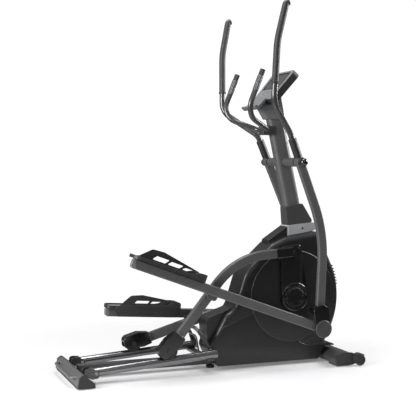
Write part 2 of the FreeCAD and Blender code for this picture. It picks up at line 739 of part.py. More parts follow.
def pedal_arm(side, word):
    """Straight tube from the knuckle on the swing arm to the pedal, with the bracket for the bar."""
    lane = side * S.arm_lane
    path = Part.Wire([Part.LineSegment(Vector(-12, lane, 0), Vector(-S.arm_length, lane, 0)).toShape()])
    tube = flat_tube(path, S.arm_height, S.arm_width, S.arm_wall)
    knuckle = rod("knuckle_radius", "34", (0, side * (S.arm_lane - 17), 0), (0, side, 0))
    bore = rod("pivot_radius + 0.05", "40", (0, side * (S.arm_lane - 20), 0), (0, side, 0))
    ear = slab(side_outline([(-622, -12, 4), (-556, -12, 4), (-562, -44, 14), (-600, -44, 14)]),
               side * 160, side * 10)
    boss = rod("15", "12", (-580, side * 148.5, -30), (0, side, 0))
    solid_end = cut(tube, rod("knuckle_radius - 1", "28", (0, side * (S.arm_lane - 14), 0), (0, side, 0)))
    finish(group(cut(fuse(solid_end, knuckle, ear, boss), bore), arm_plug(side)), "pedal_arm_" + word,
           arm_placement(side))


def pedal(side, word):
    """Foot tray: floor, low outer lip, taller front wall and an inner guard with slanted windows."""
    top = S.arm_height / 2
    inner, outer = S.pedal_inner, S.pedal_outer
    front, rear = -S.pedal_front, -S.pedal_rear
    plan = rounded([(front, side * inner, top), (front, side * outer, top),
                    (rear, side * (outer - 8), top), (rear, side * (inner + 22), top)],
                   [30, 22, 34, 16], closed=True)
    floor = tray_slab(plan, S.pedal_floor)
    wall = cut(tray_slab(plan, 44), inner_tray(side, top))
    slope = slab(side_outline([(front + 10, top - 1, 1), (rear - 10, top - 1, 1),
                               (rear - 10, top + S.pedal_lip, 1), (front - 90, top + S.pedal_lip, 30),
                               (front - 30, top + 36, 10), (front + 10, top + 36, 1)]),
                 side * (inner - 10), side * (outer - inner + 20))
    low_wall = add("Part::Common", "low_wall")
    low_wall.Base = wall
    low_wall.Tool = slope
    guard = slab(side_outline([(front - 2, top, 2), (front - 2, top + 38, 10), (front - 200, top + 72, 24),
                               (front - 258, top + 68, 24), (front - 318, top + 14, 12),
                               (front - 330, top, 2)]), side * inner, side * S.guard_thickness)
    windows = []
    for start, length, height in ((50, 44, 12), (106, 62, 17), (180, 66, 20)):
        x = front - start
        outline = side_outline([(x, top + 24, 3), (x + 18, top + 24 + height, 3),
                                (x - length + 18, top + 24 + height, 3), (x - length, top + 24, 3)])
        windows.append(slab(outline, side * (inner - 5), side * 20))
    tray = cut(fuse(floor, low_wall, guard), *windows)
    finish(tray, "pedal_" + word, arm_placement(side))


def tray_slab(plan, height):
    """Extrude a flat plan upwards."""
    piece = add("Part::Extrusion", "tray")
    piece.Base = wire_feature(plan, "plan")
    piece.Dir = Vector(0, 0, 1)
    piece.DirMode = "Custom"
    piece.LengthFwd = height
    piece.Solid = True
    return piece


def inner_tray(side, top):
    inner, outer = S.pedal_inner + 5, S.pedal_outer - 5
    front, rear = -S.pedal_front - 5, -S.pedal_rear + 5
    plan = rounded([(front, side * inner, top + 3), (front, side * outer, top + 3),
                    (rear, side * (outer - 8), top + 3), (rear, side * (inner + 20), top + 3)],
                   [25, 18, 30, 12], closed=True)
    return tray_slab(plan, 80)


def pedal_pad(side, word):
    """Ribbed rubber tread inside the tray."""
    top = S.arm_height / 2 + S.pedal_floor
    inner, outer = S.pedal_inner + 8, S.pedal_outer - 7
    front, rear = -S.pedal_front - 8, -S.pedal_rear + 8
    plan = rounded([(front, side * inner, top), (front, side * outer, top),
                    (rear, side * (outer - 8), top), (rear, side * (inner + 18), top)],
                   [22, 16, 28, 10], closed=True)
    finish(tray_slab(plan, S.pad_thickness), "pedal_pad_" + word, arm_placement(side))


def arm_plug(side):
    """Rounded plug on the rear end of the pedal arm, with a small hook below it."""
    lane = side * S.arm_lane
    end = -S.arm_length
    outline = side_outline([(end, -22.5, 2), (end, 22.5, 2), (end - 16, 20, 10), (end - 16, -20, 12)])
    half = S.arm_width / 2
    return slab(outline, lane - half, 2 * half)


# ---------------------------------------------------------------- housing
HOUSING = [(0, 20, 12), (540, 18, 12), (692, 326, 380), (540, 652, 15), (366, 628, 15), (290, 598, 60),
           (150, 470, 160), (92, 290, 60), (46, 262, 30), (-36, 110, 34)]


def housing_shell(side, word):
    """One half of the drive housing: a filled half with a rounded outer edge, less a smaller one."""
    outline = side_outline(HOUSING)
    outer = rounded_half(outline, side, S.housing_half, S.housing_edge)
    plateau = Part.makeCylinder(S.plateau_radius, 12,
                                Vector(S.hub_x, side * (S.housing_half - 12 + S.plateau_height), S.hub_z),
                                Vector(0, side, 0))
    plateau = plateau.makeFillet(4.5, [plateau.Edges[0]])
    solid = outer.fuse(plateau).removeSplitter()
    smaller = outline.makeOffset2D(-S.housing_wall)
    hollow = rounded_half(smaller, side, S.housing_half - S.housing_wall, S.housing_edge - S.housing_wall)
    tools = [hollow, axle_hole(side), beam_hole(), mast_hole(), post_hole()]
    for tool in tools:
        solid = solid.cut(tool)
    feature = add("Part::Feature", "housing")
    feature.Shape = solid
    finish(feature, "housing_" + word)


def rounded_half(outline, side, depth, radius):
    face = Part.Face(outline)
    half = face.extrude(Vector(0, side * depth, 0))
    far = [e for e in half.Edges if all(abs(v.Point.y - side * depth) < 0.01 for v in e.Vertexes)]
    return half.makeFillet(radius, far)


def axle_hole(side):
    return Part.makeCylinder(16, 40, Vector(S.hub_x, side * 60, S.hub_z), Vector(0, side, 0))


def beam_hole():
    half = S.beam_width / 2 + 0.5
    low = S.beam_bottom - 10
    return Part.makeBox(900, 2 * half, S.beam_height + 10.5, Vector(-150, -half, low))


def mast_hole():
    return Part.makeBox(150, 80, 60, Vector(385, -40, 612))


def post_hole():
    return Part.makeBox(60, 60, 20, Vector(-36, -30, 5))


def rear_box():
    """Rounded cover behind the housing, over the beam."""
    outline = side_outline([(-38, 112, 10), (-46, 236, 16), (-34, 250, 12), (100, 296, 10),
                            (110, 250, 6), (60, 112, 6)])
    half = 52
    body = slab(outline, -half, 2 * half)
    core = slab(side_outline([(-34, 100, 6), (-42, 233, 12), (-32, 246, 10), (130, 301, 6), (140, 100, 6)]),
                -half + 3, 2 * half - 6)
    housing_room = slab(side_outline(HOUSING), -90, 180)
    finish(cut(body, core, housing_room), "rear_box")


# ---------------------------------------------------------------- mast and what it carries
def mast_wire(extra_low=0, extra_high=0):
    foot = Vector(S.mast_foot_x, 0, S.mast_foot_z)
    top = Vector(S.mast_top_x, 0, S.mast_top_z)
    along = (top - foot).normalize()
    return Part.Wire([Part.LineSegment(foot - along * extra_low, top + along * extra_high).toShape()])


def mast():
    """Leaning rectangular tube with the cross tube that holds the swing arms' axle."""
    tube = flat_tube(mast_wire(), S.mast_depth, S.mast_width, S.mast_wall, S.mast_corner)
    cross = rod("cross_radius + 12", "296", (S.cross_x, -148, S.cross_z))
    bore = rod("cross_radius", "300", (S.cross_x, -150, S.cross_z))
    finish(cut(fuse(tube, cross), bore), "mast")


def cross_axle():
    """Fixed axle through the mast, with a domed nut on each end."""
    rod_body = rod("cross_radius", "424", (S.cross_x, -212, S.cross_z))
    domes = []
    for side in SIDES.values():
        dome = add("Part::Sphere", "dome")
        dome.Radius = 19
        dome.Placement = Placement(Vector(S.cross_x, side * 224.5, S.cross_z), Rotation())
        domes.append(dome)
    finish(fuse(rod_body, *domes), "cross_axle")


def mast_cover():
    """Dark tapered cover round the foot of the mast."""
    outline = side_outline([(390, 684, 6), (383, 776, 8), (472, 790, 10), (532, 696, 10)])
    body = slab(outline, -36, 72)
    room = flat_bar(mast_wire(40, 0), S.mast_depth + 0.6, S.mast_width + 0.6, S.mast_corner)
    finish(cut(body, room), "mast_cover")


def collar_band():
    """Light band between the housing and the mast's cover."""
    outline = side_outline([(395, 634, 4), (388, 683.4, 4), (534, 695.6, 8), (540, 655, 8)])
    body = slab(outline, -44, 88)
    room = flat_bar(mast_wire(60, 0), S.mast_depth + 0.6, S.mast_width + 0.6, S.mast_corner)
    top_of_housing = slab(side_outline(HOUSING), -100, 200)
    ledge = slab(side_outline([(392, 682, 3), (285, 612, 8), (285, 592, 4), (400, 622, 3), (400, 678, 3)]),
                 -40, 80)
    finish(cut(fuse(body, ledge), room, top_of_housing), "collar_band")


def fixed_handlebar():
    """Bullhorn bar across the rear of the mast."""
    right = [(199, -155, 1427), (116, -158, 1222), (280, -48, 1150)]
    left = [(x, -y, z) for x, y, z in reversed(right)]
    path = rounded(right + left, [80, 60, 60, 80])
    room = flat_bar(mast_wire(), S.mast_depth + 0.4, S.mast_width + 0.4, S.mast_corner)
    clamp = slab(side_outline([(262, 1128, 8), (262, 1172, 8), (330, 1172, 4), (330, 1128, 4)]), -30, 60)
    plugs = bar_plugs()
    finish(group(cut(fuse(round_tube(path, "bar_tube", "handle_wall"), clamp), room), *plugs),
           "fixed_handlebar")


def sensor_plates():
    """Bright pulse plates round the fixed bar, near its ends."""
    plates = []
    for side in SIDES.values():
        tip = Vector(199, side * 155, 1427)
        corner = Vector(116, side * 158, 1222)
        down = (corner - tip).normalize()
        for start in (28, 66):
            path = Part.Wire([Part.LineSegment(tip + down * start, tip + down * (start + 34)).toShape()])
            plates.append(cut(round_bar(path, "bar_tube + 1.2"), round_bar(path, "bar_tube")))
    finish(group(*plates), "sensor_plates")


def bar_plugs():
    """Plugs in the ends of the fixed bar."""
    plugs = []
    for side in SIDES.values():
        tip = Vector(199, side * 155, 1427)
        up = (tip - Vector(116, side * 158, 1222)).normalize()
        plugs.append(rod("bar_tube", "5", tuple(tip), tuple(up)))
    return plugs


FACE_LOW = Vector(262, 0, 1296)
FACE_HIGH = Vector(386, 0, 1440)


def face_frame():
    """Placement whose X runs up the console's face, Y across it and Z out of it."""
    up = (FACE_HIGH - FACE_LOW).normalize()
    out = Vector(-up.z, 0, up.x)
    return Placement(FACE_LOW, Rotation(up, Vector(0, 1, 0), out, "XZY"))


def face_slab(corners, low, high):
    """Slab parallel to the console's face from a rounded plan in the face's own X and Y."""
    plan = rounded([(x, y, low) for x, y, _ in corners], [r for _, _, r in corners], closed=True)
    piece = tray_slab(plan, high - low)
    return piece


def console_body():
    """Wedge-shaped head with a recess for the screen."""
    length = (FACE_HIGH - FACE_LOW).Length
    half = S.console_half
    plan = [(0, -half + 18, 14), (0, half - 18, 14), (length, half, 26), (length, -half, 26)]
    head = face_slab(plan, -S.console_depth, 0)
    recess = face_slab([(78, -88, 5), (78, 88, 5), (length - 16, 92, 5), (length - 16, -92, 5)], -3, 2)
    wells = []
    for index in range(KEYS):
        wells.append(rod("key_radius + 0.4", "12", (40, key_y(index), -10), (0, 0, 1)))
    finish(cut(head, recess, *wells), "console_body", face_frame())


def console_screen():
    length = (FACE_HIGH - FACE_LOW).Length
    plan = [(78.3, -87.7, 5), (78.3, 87.7, 5), (length - 16.3, 91.7, 5), (length - 16.3, -91.7, 5)]
    finish(face_slab(plan, -3, -0.6), "console_screen", face_frame())


def key_y(index):
    return 50 * (index - (KEYS - 1) / 2)


def console_key(index):
    key = rod("key_radius", "key_height + 3", (40, key_y(index), -7.5), (0, 0, 1))
    finish(key, "console_key_%d" % (index + 1), face_frame().multiply(key.Placement))


def console_tray():
    """Shelf below the head that holds a tablet, with a lip at its lower edge."""
    outline = side_outline([(258, 1298, 4), (210, 1246, 6), (190, 1262, 6), (198, 1271, 5), (210, 1263, 4),
                            (247, 1303, 4)])
    shelf = slab(outline, -82, 164)
    room = flat_bar(mast_wire(), S.mast_depth + 0.6, S.mast_width + 0.6, S.mast_corner)
    finish(cut(fuse(shelf, console_neck()), room, face_block()), "console_tray")


def face_block():
    length = (FACE_HIGH - FACE_LOW).Length
    half = S.console_half + 5
    plan = [(-0.3, -half, 2), (-0.3, half, 2), (length, half, 2), (length, -half, 2)]
    block_piece = face_slab(plan, -S.console_depth - 0.3, 30)
    block_piece.Placement = face_frame()
    return block_piece


def console_neck():
    """Bracket from the mast's top to the back of the head."""
    outline = side_outline([(286, 1204, 6), (250, 1262, 8), (252, 1280, 6), (330, 1356, 8), (352, 1330, 10),
                            (372, 1226, 8), (352, 1206, 6)])
    return slab(outline, -32, 64)


def screws():
    """Screws in the housing and the band, and the bolts across the rail brackets."""
    heads = []
    spots = [(96, 112), (212, 42), (384, 44), (330, 575), (470, 600)]
    for side in SIDES.values():
        for x, z in spots:
            heads.append(rod("4.5", "2.5", (x, side * S.housing_half, z), (0, side, 0)))
        heads.append(rod("4.5", "2.5", (468, side * 44, 668), (0, side, 0)))
        for sign in (-1, 1):
            y = side * S.rail_lane + sign * (S.rail_radius + 5)
            heads.append(rod("7", "5", (-612, y, 50), (0, sign, 0)))
    finish(group(*heads), "screws")


# ---------------------------------------------------------------- assembly
def build():
    centre_beam()
    rear_stabiliser()
    stabiliser_caps()
    front_stabiliser()
    transport_wheels()
    floor_pads()
    rails()
    rail_brackets()
    rail_arch()
    drive_frame()
    crank_bearings()
    crank_axle()
    drive_pulley()
    flywheel()
    drive_belt()
    brake_arm()
    rear_box()
    mast()
    cross_axle()
    mast_cover()
    collar_band()
    fixed_handlebar()
    sensor_plates()
    console_body()
    console_screen()
    for index in range(KEYS):
        console_key(index)
    console_tray()
    screws()
    for word, side in SIDES.items():
        for make in (housing_shell, crank, roller_bar, bar_end, roller_hood, roller_axle, roller,
                     swing_arm, handle, grip, joint_cover, pivot_pin, pedal_arm, pedal, pedal_pad):
            make(side, word)


def export():
    doc.recompute()
    failed = [item.Label for item in doc.Objects if {"Invalid", "Error"} & set(item.State)]
    bad = [node.Label for node in NODES
           if node.Shape.isNull() or not node.Shape.isValid() or not node.Shape.Solids]
    if failed or bad:
        raise RuntimeError("failed objects: %s; bad shapes: %s" % (failed, bad))
    os.makedirs("parts", exist_ok=True)
    for node in NODES:
        node.Shape.exportStep("parts/%s.step" % node.Label)
    print(len(NODES), "sub-parts")


build()
export()
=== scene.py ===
# %% [markdown]
# # An elliptical trainer, finished in Blender
# The machine's metal and its joints come from CAD as a fixed frame. This file gives every part the
# surface it has on the real machine, and rebuilds the parts whose moulded detail is too fine for
# the CAD model. The scene is in metres: X towards the front wheels, Y to the machine's left, Z up.
# Outlines and profiles are written in millimetres.

# %% Load the frame
import bmesh
import bpy
import json
import math
from mathutils import Matrix, Vector


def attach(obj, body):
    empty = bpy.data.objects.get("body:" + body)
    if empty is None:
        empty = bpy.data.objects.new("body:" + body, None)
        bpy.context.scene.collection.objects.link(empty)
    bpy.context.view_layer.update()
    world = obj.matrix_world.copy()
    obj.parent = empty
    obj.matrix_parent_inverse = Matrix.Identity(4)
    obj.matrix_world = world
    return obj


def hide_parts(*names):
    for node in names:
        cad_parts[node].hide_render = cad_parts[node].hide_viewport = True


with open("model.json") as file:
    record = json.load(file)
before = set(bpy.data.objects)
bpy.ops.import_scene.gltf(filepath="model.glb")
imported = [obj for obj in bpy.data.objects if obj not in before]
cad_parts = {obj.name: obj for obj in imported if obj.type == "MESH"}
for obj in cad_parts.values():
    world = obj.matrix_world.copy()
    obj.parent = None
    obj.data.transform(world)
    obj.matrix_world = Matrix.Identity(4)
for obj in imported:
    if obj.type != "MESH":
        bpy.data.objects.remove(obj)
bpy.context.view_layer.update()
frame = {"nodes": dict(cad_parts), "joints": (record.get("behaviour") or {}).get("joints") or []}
nodes = frame["nodes"]
SIDES = {"right": -1, "left": 1}

# %% [markdown]
# ## Camera and studio
# The camera stands low behind the machine's right side with a long lens, so the upright parts stay
# nearly parallel. The light is a product studio: a pale floor, a soft sky and four large lamps.
# The sky shows white to the lens but is darker to the sides, which gives black paint its shape.

# %% Camera
AIM = Vector((-0.007, -0.0015, 0.789))
DISTANCE = 4.555
AZIMUTH = math.radians(21)
ELEVATION = math.radians(2.66)
LENS = 81.87

view = Vector((math.sin(AZIMUTH) * math.cos(ELEVATION), math.cos(AZIMUTH) * math.cos(ELEVATION),
               -math.sin(ELEVATION)))
camera = bpy.data.objects.new("camera", bpy.data.cameras.new("camera"))
camera.data.lens = LENS
camera.location = AIM - view * DISTANCE
camera.rotation_euler = view.to_track_quat("-Z", "Y").to_euler()
bpy.context.scene.collection.objects.link(camera)
bpy.context.scene.camera = camera
bpy.context.scene.view_settings.view_transform = "Standard"
print("camera at", [round(c, 3) for c in camera.location])


# %% Lamps
def lamp(name, place, target, size, power):
    """Square area lamp that faces a target."""
    light = bpy.data.lights.new(name, "AREA")
    light.size = size
    light.energy = power
    holder = bpy.data.objects.new(name, light)
    holder.location = place
    holder.rotation_euler = (Vector(target) - Vector(place)).to_track_quat("-Z", "Y").to_euler()
    bpy.context.scene.collection.objects.link(holder)


lamp("rear_lamp", (-3.4, -0.9, 1.5), (0, 0, 0.6), 1.7, 190)
lamp("top_lamp", (-0.2, 0.2, 3.5), (0, 0, 0.3), 1.6, 90)
lamp("front_lamp", (2.9, -0.4, 2.0), (0.1, 0, 0.9), 1.3, 110)
lamp("fill_lamp", (-0.6, -4.6, 2.6), (0, 0, 0.6), 1.5, 17)


# %% Sky
def studio_sky(horizon=0.10, zenith=0.5):
    """White to the lens; for reflections a gradient from a grey horizon to a bright zenith."""
    world = bpy.data.worlds.new("studio")
    bpy.context.scene.world = world
    world.use_nodes = True
    tree = world.node_tree
    tree.nodes.clear()
    place = tree.nodes.new("ShaderNodeTexCoord")
    split = tree.nodes.new("ShaderNodeSeparateXYZ")
    height = tree.nodes.new("ShaderNodeMapRange")
    height.inputs["From Min"].default_value = 0.0
    height.inputs["From Max"].default_value = 0.8
    height.inputs["To Min"].default_value = horizon
    height.inputs["To Max"].default_value = zenith
    glow = tree.nodes.new("ShaderNodeBackground")
    white = tree.nodes.new("ShaderNodeBackground")
    white.inputs["Color"].default_value = (1, 1, 1, 1)
    white.inputs["Strength"].default_value = 1.05
    path = tree.nodes.new("ShaderNodeLightPath")
    mix = tree.nodes.new("ShaderNodeMixShader")
    out = tree.nodes.new("ShaderNodeOutputWorld")
    tree.links.new(place.outputs["Generated"], split.inputs["Vector"])
    tree.links.new(split.outputs["Z"], height.inputs["Value"])
    tree.links.new(height.outputs["Result"], glow.inputs["Strength"])
    tree.links.new(path.outputs["Is Camera Ray"], mix.inputs["Fac"])
    tree.links.new(glow.outputs["Background"], mix.inputs[1])
    tree.links.new(white.outputs["Background"], mix.inputs[2])
    tree.links.new(mix.outputs["Shader"], out.inputs["Surface"])


studio_sky()


# %% [markdown]
# ## Surface finishes
# Every finish is one Principled shader fed by two noises in Object coordinates: a coarse one that
# shifts the colour and the gloss from place to place, as handling and moulding do, and a fine one
# that raises the grain. A Bevel node rounds the light over sharp CAD edges, and its difference
# from the true normal marks the edges, which are painted lighter: partly wear, partly a painted
# highlight along every edge, strongest on the gloss black parts.

# %% Finish maker
def link(tree, source, target):
    tree.links.new(source, target)


def node(tree, kind, **values):
    """Add a shader node; values are its inputs by name."""
    made = tree.nodes.new("ShaderNode" + kind)
    for key, value in values.items():
        made.inputs[key.replace("_", " ")].default_value = value
    return made


def shade(colour, factor):
    return tuple(min(1.0, c * factor) for c in colour) + (1.0,)


def ramp_pair(tree, factor, low, high):
    """Mix between two colours by a factor."""
    mix = tree.nodes.new("ShaderNodeMix")
    mix.data_type = "RGBA"
    link(tree, factor, mix.inputs["Factor"])
    mix.inputs[6].default_value = low
    mix.inputs[7].default_value = high
    return mix


def finish(name, colour, rough, metal=0.0, grain=900.0, relief=0.15, mottle=0.12, patch=9.0,
           stretch=(1, 1, 1), edge=1.6, edge_radius=0.0012, coat=0.0, cells=False, spread=0.06,
           zone=None):
    """Principled material with a mottled colour, a grain and softened edges painted brighter, partly as
    wear and partly as a painted highlight.

    A zone is (axis, middle, half width, colour): beyond it the part has the other colour.
    """
    material = bpy.data.materials.new(name)
    material.use_nodes = True
    tree = material.node_tree
    shader = tree.nodes["Principled BSDF"]
    shader.inputs["Metallic"].default_value = metal
    shader.inputs["Coat Weight"].default_value = coat
    shader.inputs["Coat Roughness"].default_value = 0.12
    place = tree.nodes.new("ShaderNodeTexCoord").outputs["Object"]
    turned = node(tree, "Mapping", Scale=stretch)
    link(tree, place, turned.inputs["Vector"])
    coarse = node(tree, "TexNoise", Scale=patch, Detail=5.0, Roughness=0.6)
    link(tree, turned.outputs["Vector"], coarse.inputs["Vector"])
    tone = ramp_pair(tree, coarse.outputs["Fac"], shade(colour, 1 - mottle), shade(colour, 1 + mottle))
    gloss = node(tree, "MapRange", From_Min=0.3, From_Max=0.7, To_Min=rough - spread,
                 To_Max=rough + spread)
    link(tree, coarse.outputs["Fac"], gloss.inputs["Value"])
    link(tree, gloss.outputs["Result"], shader.inputs["Roughness"])
    if cells:
        fine = node(tree, "TexVoronoi", Scale=grain)
        height = fine.outputs["Distance"]
    else:
        fine = node(tree, "TexNoise", Scale=grain, Detail=2.0)
        height = fine.outputs["Fac"]
    link(tree, turned.outputs["Vector"], fine.inputs["Vector"])
    soft = node(tree, "Bevel", Radius=edge_radius)
    soft.samples = 4
    bump = node(tree, "Bump", Strength=relief, Distance=0.0004)
    link(tree, height, bump.inputs["Height"])
    link(tree, soft.outputs["Normal"], bump.inputs["Normal"])
    link(tree, bump.outputs["Normal"], shader.inputs["Normal"])
    real = tree.nodes.new("ShaderNodeNewGeometry")
    facing = tree.nodes.new("ShaderNodeVectorMath")
    facing.operation = "DOT_PRODUCT"
    link(tree, soft.outputs["Normal"], facing.inputs[0])
    link(tree, real.outputs["True Normal"], facing.inputs[1])
    # Edge mask: the edges get a lighter colour, partly as wear and partly as a painted highlight.
    edge_wear_and_highlight = node(tree, "MapRange", From_Min=0.995, From_Max=0.9, To_Min=0.0, To_Max=1.0)
    link(tree, facing.outputs["Value"], edge_wear_and_highlight.inputs["Value"])
    rim = ramp_pair(tree, edge_wear_and_highlight.outputs["Result"], (0, 0, 0, 1), shade(colour, edge))
    base = tone.outputs[2]
    if zone:
        axis, middle, half, beyond = zone
        split = tree.nodes.new("ShaderNodeSeparateXYZ")
        link(tree, place, split.inputs["Vector"])
        inside = tree.nodes.new("ShaderNodeMath")
        inside.operation = "COMPARE"
        inside.inputs[1].default_value = middle
        inside.inputs[2].default_value = half
        link(tree, split.outputs[axis], inside.inputs[0])
        two = ramp_pair(tree, inside.outputs[0], shade(beyond, 1), shade(colour, 1))
        link(tree, base, two.inputs[7])
        base = two.outputs[2]
    link(tree, base, rim.inputs[6])
    link(tree, rim.outputs[2], shader.inputs["Base Color"])
    return material


# %% Finishes
GRAPHITE = (0.075, 0.075, 0.077)
CHARCOAL = (0.010, 0.010, 0.0104)
# Zones of the two-tone parts, in metres. Beyond them lie the collar's rear ledge, the ends of the
# cross tube, the bosses on the cross axle and the bolts at the rails. Beyond the pedal arms' zones
# lies a painted highlight: the arms' rear ends are painted light grey where the rear lamp lights them.
COLLAR_BAND = ("X", 0.50, 0.104, CHARCOAL)
MAST_TUBE = ("Y", 0.0, 0.032, (0.07, 0.07, 0.072))
SWING_TUBE = ("Z", 0.50, 0.512, (0.012, 0.012, 0.012))
# Painted highlight: beyond these zones the pedal arms' rear ends are painted light grey.
ARM_PAINTED_HIGHLIGHT_RIGHT = ("X", 0.2, 0.6292, (0.16, 0.16, 0.163))
ARM_PAINTED_HIGHLIGHT_LEFT = ("X", 0.2, 0.6545, (0.16, 0.16, 0.163))
BODY_SCREWS = ("X", 0.5, 1.0, (0.25, 0.25, 0.255))
coat_paint = finish("graphite_powder_coat", GRAPHITE, 0.36, grain=1400, relief=0.3, coat=0.15, edge=1.9)
tube_paint = finish("tube_gloss_coat", (0.040, 0.040, 0.041), 0.26, grain=1400, relief=0.2, coat=0.35,
                    edge=1.6)
dark_paint = finish("dark_powder_coat", (0.035, 0.035, 0.036), 0.4, grain=1400, relief=0.3, coat=0.2)
shell_plastic = finish("grained_charcoal_plastic", CHARCOAL, 0.36, grain=2200, relief=0.35, patch=4,
                       edge_radius=0.004)
dark_plastic = finish("matt_black_plastic", (0.018, 0.018, 0.019), 0.5, grain=1800, relief=0.3)
gloss_plastic = finish("gloss_black_plastic", (0.006, 0.006, 0.0065), 0.1, grain=60, relief=0.03,
                       mottle=0.2, edge=3.0, spread=0.03, coat=0.6)
band_plastic = finish("silver_grey_plastic", (0.34, 0.345, 0.35), 0.38, grain=1800, relief=0.2,
                      zone=COLLAR_BAND)
mast_paint = finish("mast_powder_coat", (0.080, 0.080, 0.082), 0.4, grain=1400, relief=0.3, coat=0.15,
                    edge=1.9, zone=MAST_TUBE)
swing_paint = finish("swing_arm_powder_coat", GRAPHITE, 0.5, grain=1400, relief=0.3, coat=0.15,
                     edge=1.9, zone=SWING_TUBE)
arm_paint_right = finish("pedal_arm_coat_right", GRAPHITE, 0.42, grain=1400, relief=0.3, coat=0.15,
                         edge=1.9, zone=ARM_PAINTED_HIGHLIGHT_RIGHT)
arm_paint_left = finish("pedal_arm_coat_left", GRAPHITE, 0.42, grain=1400, relief=0.3, coat=0.15,
                        edge=1.9, zone=ARM_PAINTED_HIGHLIGHT_LEFT)
disc_plastic = finish("knurled_grey_plastic", (0.05, 0.05, 0.052), 0.42, grain=1500, relief=0.2)
# Painted light: the rear stabiliser is painted a lighter grey than the front one, standing in for the
# rear lamp that lights it.
rear_lit_foot_paint = finish("rear_stabiliser_painted_light_grey", (0.11, 0.11, 0.112), 0.4, metal=0.4, grain=1500, relief=0.3)
rail_steel = finish("drawn_rail_steel", (0.20, 0.20, 0.205), 0.27, metal=1.0, grain=500, relief=0.25,
                    patch=60, stretch=(0.03, 1, 1))
turned_steel = finish("turned_steel", (0.55, 0.55, 0.56), 0.25, metal=1.0, grain=700, relief=0.15)
screw_steel = finish("black_and_bright_screws", (0.012, 0.012, 0.012), 0.3, metal=0.4, grain=700,
                     relief=0.15, zone=BODY_SCREWS)
bracket_metal = finish("bracket_enamel", (0.03, 0.03, 0.03), 0.2, grain=900, relief=0.15, coat=0.6,
                       edge=3.0)
tread_rubber = finish("grey_tread_rubber", (0.13, 0.13, 0.132), 0.55, grain=1500, relief=0.5)
cast_metal = finish("cast_iron_finish", (0.10, 0.10, 0.105), 0.55, metal=0.8, grain=700, relief=0.8)
alloy = finish("cast_alloy", (0.45, 0.46, 0.47), 0.4, metal=1.0, grain=900, relief=0.4)
rubber = finish("moulded_rubber", (0.022, 0.022, 0.022), 0.72, grain=1500, relief=0.6)
foam = finish("closed_cell_foam", (0.024, 0.024, 0.025), 0.5, grain=1300, relief=0.7, cells=True)
sensor_metal = finish("polished_sensor", (0.30, 0.30, 0.31), 0.3, metal=1.0, grain=900, relief=0.08)
key_plastic = finish("soft_touch_key", (0.16, 0.16, 0.17), 0.5, grain=1500, relief=0.2)
face_plastic = finish("console_face_plastic", (0.12, 0.122, 0.125), 0.42, grain=2000, relief=0.3)
cover_plastic = finish("mast_cover_plastic", (0.045, 0.045, 0.046), 0.4, grain=2200, relief=0.35,
                       patch=4)
hood_gloss = finish("roller_hood_gloss", (0.004, 0.004, 0.0042), 0.20, grain=60, relief=0.03,
                    mottle=0.2, edge=2.0, spread=0.03, coat=0.25, edge_radius=0.007)
screen_glass = finish("screen_hard_coat", (0.020, 0.024, 0.026), 0.08, grain=40, relief=0.02, coat=0.8)

# %% Which part has which finish
FINISH_OF = {
    coat_paint: ["roller_bar_"],
    tube_paint: ["fixed_handlebar", "handle_"],
    mast_paint: ["mast"],
    swing_paint: ["swing_arm_"],
    arm_paint_right: ["pedal_arm_right"],
    arm_paint_left: ["pedal_arm_left"],
    dark_paint: ["centre_beam", "rail_arch", "drive_frame", "front_stabiliser"],
    rear_lit_foot_paint: ["rear_stabiliser"],
    shell_plastic: ["housing_", "rear_box"],
    gloss_plastic: ["crank_right", "crank_left", "bar_end_", "cross_axle"],
    hood_gloss: ["roller_hood_", "joint_cover_"],
    dark_plastic: ["stabiliser_caps", "transport_wheels", "console_body", "pedal_right", "pedal_left",
                   "pivot_pin_", "roller_axle_"],
    face_plastic: ["console_tray"],
    cover_plastic: ["mast_cover"],
    band_plastic: ["collar_band"],
    rail_steel: ["rails"],
    turned_steel: ["crank_bearings", "crank_axle"],
    screw_steel: ["screws"],
    bracket_metal: ["rail_brackets"],
    alloy: ["drive_pulley", "brake_arm"],
    cast_metal: ["flywheel"],
    rubber: ["floor_pads", "drive_belt", "pedal_pad_", "roller_right", "roller_left"],
    foam: ["grip_"],
    sensor_metal: ["sensor_plates"],
    screen_glass: ["console_screen"],
    key_plastic: ["console_key_"],
}


def dress(part, material):
    part.data.materials.clear()
    part.data.materials.append(material)


def dress_nodes():
    bare = set(nodes)
    for material, stems in FINISH_OF.items():
        for name in nodes:
            if any(name == stem or (stem.endswith("_") and name.startswith(stem)) for stem in stems):
                dress(nodes[name], material)
                bare.discard(name)
    print("nodes without a finish:", sorted(bare))


dress_nodes()

# %% [markdown]
# ## Tools for new pieces
# A moulded or stamped part starts as a flat outline whose corners are rounded by a vertex bevel,
# then it is extruded and its rims are rounded. Round parts are a short profile spun about an axis.
# Each link of the machine is drawn about its own pivot, lying level, and then turned into place.

# %% Piece helpers
MM = 0.001


def corner_offset(before, corner, after, radius):
    """How far along its edges a corner's rounding starts."""
    one = (Vector(before) - Vector(corner)).normalized()
    two = (Vector(after) - Vector(corner)).normalized()
    return radius / math.tan(one.angle(two) / 2)


def outline(shape, corners, flat=False, segments=5):
    """Face from (a, b, corner radius) in millimetres, in the XZ plane or, when flat, in XY."""
    spots = []
    for a, b, _ in corners:
        place = (a * MM, b * MM, 0) if flat else (a * MM, 0, b * MM)
        spots.append(shape.verts.new(place))
    shape.faces.new(spots)
    count = len(corners)
    points = [spot.co.copy() for spot in spots]
    for index, spot in enumerate(spots):
        if corners[index][2] > 0:
            start = corner_offset(points[index - 1], points[index], points[(index + 1) % count],
                                  corners[index][2] * MM)
            bmesh.ops.bevel(shape, geom=[spot], offset=start, offset_type="OFFSET", affect="VERTICES",
                            segments=segments, profile=0.5, material=-1)
    return shape.faces[:]


